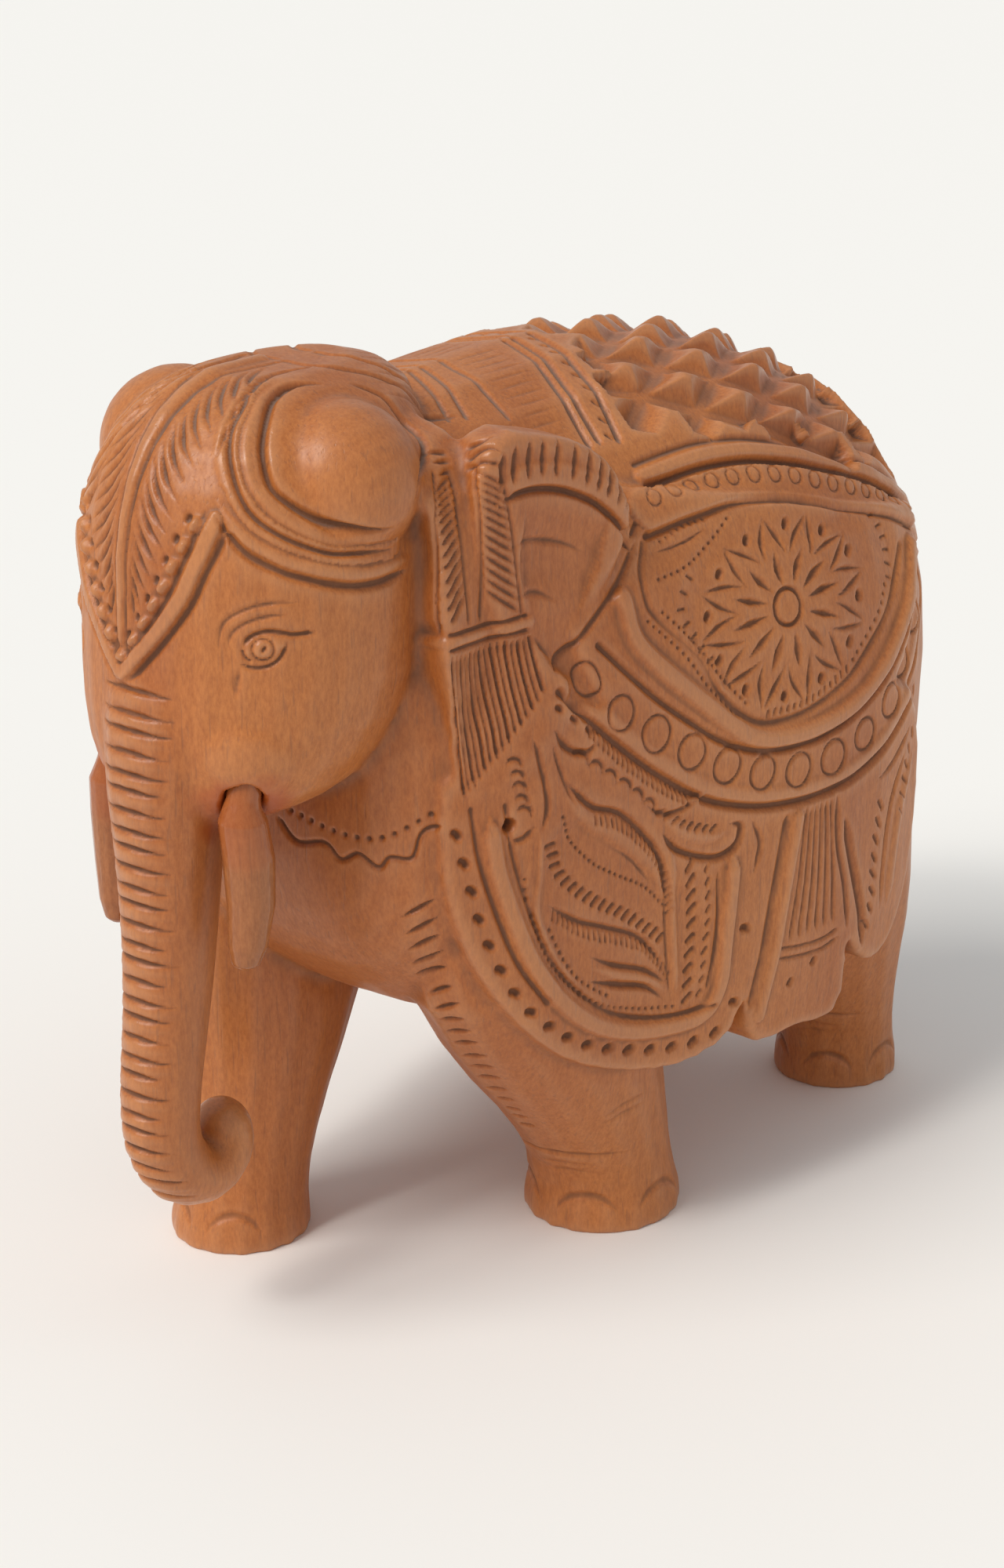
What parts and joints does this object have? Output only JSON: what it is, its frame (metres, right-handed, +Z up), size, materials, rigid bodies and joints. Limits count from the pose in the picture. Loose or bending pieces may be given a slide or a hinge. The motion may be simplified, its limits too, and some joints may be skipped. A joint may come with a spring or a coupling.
{
  "type": "carved wooden elephant figurine",
  "caption": "Standing elephant figurine carved from a block of wood, with relief-carved saddle cloth and headdress and separate whittled tusks glued into the lip.",
  "frame": {"origin": "on the surface it stands on, under the middle of the bounding box", "axes": "+Z up, the elephant faces -Y, its left side is +X"},
  "size_m": [0.077, 0.15, 0.1285],
  "materials": {
    "carved_wood": "close-grained reddish-brown hardwood, oiled, satin",
    "tusk_wood": "smooth polished pinkish-brown hardwood"
  },
  "bodies": {
    "root": {"carved_block": "carved_wood", "tusk_left": "tusk_wood", "tusk_right": "tusk_wood"}
  },
  "joints": []
}
